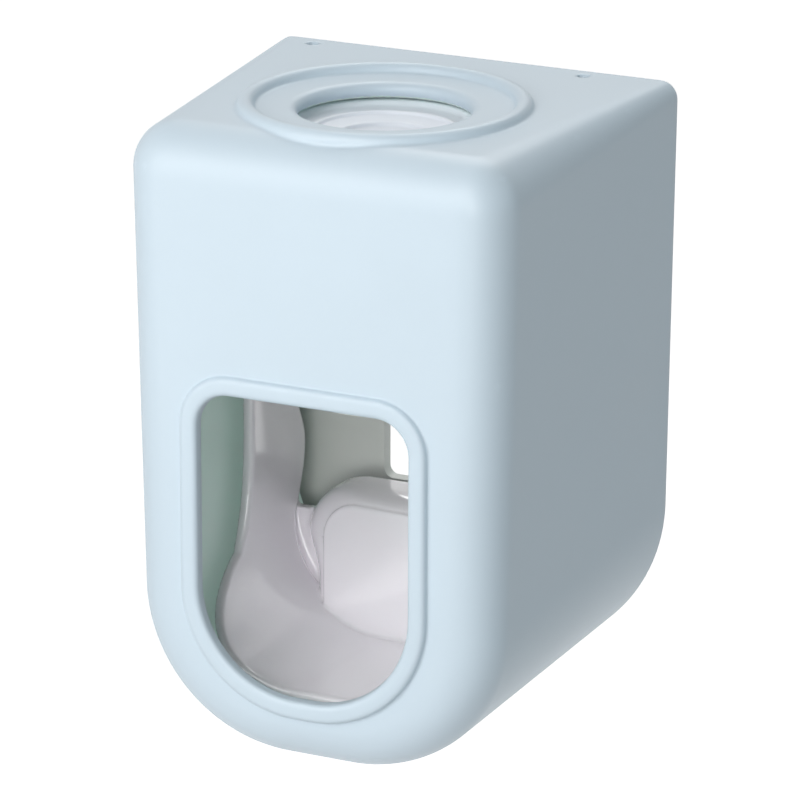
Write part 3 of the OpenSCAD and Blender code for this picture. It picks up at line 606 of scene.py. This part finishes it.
# The outlet: round above and nearly closed at its tip
NOZZLE = [(4.15, 46.85), (4.15, 51.2), (6.05, 51.2), (6.05, 52.85), (3.2, 52.85), (3.2, 46.85)]
TIP_Z, TIP_SPAN, TIP_FLAT = 46.8, 3.0, 0.23


def bill(z):
    """the outlet's depth at the height z, as a share of its width"""
    return TIP_FLAT + (1 - TIP_FLAT) * smooth((z - TIP_Z) / TIP_SPAN)


piece(turned("nozzle_skin", NOZZLE, 0.3, pinch=bill), "housing", "outlet_nozzle", SILICONE)
piece(surface("foam_pad", foam_field, grid(FOAM_X, FOAM_Y, FOAM_Z)),
      "wall_bracket", "adhesive_pad", FOAM)

# Materials of the solids
LOOKS = (
    (BLUE, ("shell",)),
    (GLOSS, ("push_lever", "press_bar")),
    (WHITE, ("back_plate", "wall_hanger", "pump_frame", "inlet_seat", "sleeve_cap", "nozzle_cap")),
    (SILICONE, ("tube_socket", "inlet_flap", "pump_sleeve", "outlet_nozzle")),
    (STEEL, ("frame_screws", "pivot_pins", "pin_clips", "return_springs")),
    (FOAM, ("adhesive_pad",)))
for material, names in LOOKS:
    for name in names:
        for held in nodes[name].material_slots:
            held.material = material
        if not nodes[name].material_slots:
            nodes[name].data.materials.append(material)

# Camera, at the angle fitted to the photograph: angles in degrees, scale in pixels per mm
AZIMUTH, ELEVATION, ROLL = (math.radians(v) for v in (25.393, 18.297, 0.137))
DISTANCE, PX_MM, SHIFT_RIGHT, SHIFT_UP = 737.891, 6.759, 1.013, 1.239
IMAGE_PX, SENSOR = 800, 36
back = Vector((math.sin(AZIMUTH) * math.cos(ELEVATION), -math.cos(AZIMUTH) * math.cos(ELEVATION),
               math.sin(ELEVATION)))
level = Vector((math.cos(AZIMUTH), math.sin(AZIMUTH), 0))
upright = back.cross(level)
right = level * math.cos(ROLL) + upright * math.sin(ROLL)
up = -level * math.sin(ROLL) + upright * math.cos(ROLL)
middle = Vector((0, -DEEP / 2, TALL / 2 - PLATE_Z))
spot = middle + back * DISTANCE + right * SHIFT_RIGHT + up * SHIFT_UP
camera = bpy.data.objects.new("camera", bpy.data.cameras.new("camera"))
camera.matrix_world = Matrix.Translation(spot * MM) @ Matrix((right, up, back)).transposed().to_4x4()
camera.data.sensor_width = SENSOR
camera.data.lens = PX_MM * DISTANCE / IMAGE_PX * SENSOR
camera.data.clip_start = 0.01
camera.data.clip_end = 20
scene.collection.objects.link(camera)
scene.camera = camera

# Lamps, in metres and watts, all aimed at the middle of the part
AIM = Vector((0, -0.03, -0.02))
COOL = (0.72, 0.92, 1.0)            # sky light on the shaded side
LAMPS = (
    ("near_left", (-0.22, -0.36, 0.06), 0.20, 0.30, 0.50, WHITE_LIGHT),
    ("low_left", (-0.28, -0.60, -0.18), 0.30, 0.30, 0.22, WHITE_LIGHT),
    ("front", (0.17, -0.68, 0.06), 0.26, 0.26, 1.36, WHITE_LIGHT),
    ("front_high", (-0.06, -0.55, 0.35), 0.40, 0.40, 2.10, WHITE_LIGHT),
    ("right", (0.65, 0.0, 0.28), 0.50, 0.50, 0.62, COOL),
    ("back_top", (-0.10, 0.40, 0.50), 0.40, 0.40, 1.80, WHITE_LIGHT))


def lamp(name, place, width, height, watts, colour):
    light = bpy.data.lights.new(name, "AREA")
    light.energy = watts
    light.color = colour
    light.shape = "RECTANGLE"
    light.size = width
    light.size_y = height
    ob = bpy.data.objects.new(name, light)
    ob.location = place
    ob.rotation_euler = (AIM - Vector(place)).to_track_quat("-Z", "Y").to_euler()
    scene.collection.objects.link(ob)


for values in LAMPS:
    lamp(*values)


# Floor and world
def for_the_eye(tree, low, high):
    """high for a ray from the camera, a reflection or glass, and low for the light on the object"""
    path = tree.nodes.new("ShaderNodeLightPath")
    seen = path.outputs["Is Camera Ray"]
    for kind in ("Is Glossy Ray", "Is Transmission Ray"):
        either = tree.nodes.new("ShaderNodeMath")
        either.operation = "MAXIMUM"
        tree.links.new(seen, either.inputs[0])
        tree.links.new(path.outputs[kind], either.inputs[1])
        seen = either.outputs[0]
    return ranged(tree, seen, low, high)


FLOOR_Z, FLOOR_HALF, FLOOR_GREY, FLOOR_ROUGH, FLOOR_GLOW = -0.40, 4.0, 0.9, 0.9, 0.87
WORLD_LIGHT, WORLD_SEEN = 0.15, 1.0
floor_mesh = bpy.data.meshes.new("floor")
ROUND = ((-1, -1), (1, -1), (1, 1), (-1, 1))
floor_corners = [(side_x * FLOOR_HALF, side_y * FLOOR_HALF, FLOOR_Z) for side_x, side_y in ROUND]
floor_mesh.from_pydata(floor_corners, [], [(0, 1, 2, 3)])
floor = bpy.data.objects.new("floor", floor_mesh)
scene.collection.objects.link(floor)
pale = bpy.data.materials.new("floor_pale")
pale.use_nodes = True
matt = pale.node_tree.nodes["Principled BSDF"]
matt.inputs["Base Color"].default_value = (FLOOR_GREY, FLOOR_GREY, FLOOR_GREY, 1)
matt.inputs["Roughness"].default_value = FLOOR_ROUGH
matt.inputs["Emission Color"].default_value = (*WHITE_LIGHT, 1)
# the matt floor takes the shadow, and its own glow makes up the rest of the white
pale.node_tree.links.new(for_the_eye(pale.node_tree, 0.0, FLOOR_GLOW), matt.inputs["Emission Strength"])
floor_mesh.materials.append(pale)

world = bpy.data.worlds.new("studio")
scene.world = world
world.use_nodes = True
sky = world.node_tree.nodes["Background"]
sky.inputs["Color"].default_value = (*WHITE_LIGHT, 1)
world.node_tree.links.new(for_the_eye(world.node_tree, WORLD_LIGHT, WORLD_SEEN), sky.inputs["Strength"])

scene.view_settings.view_transform = "Standard"
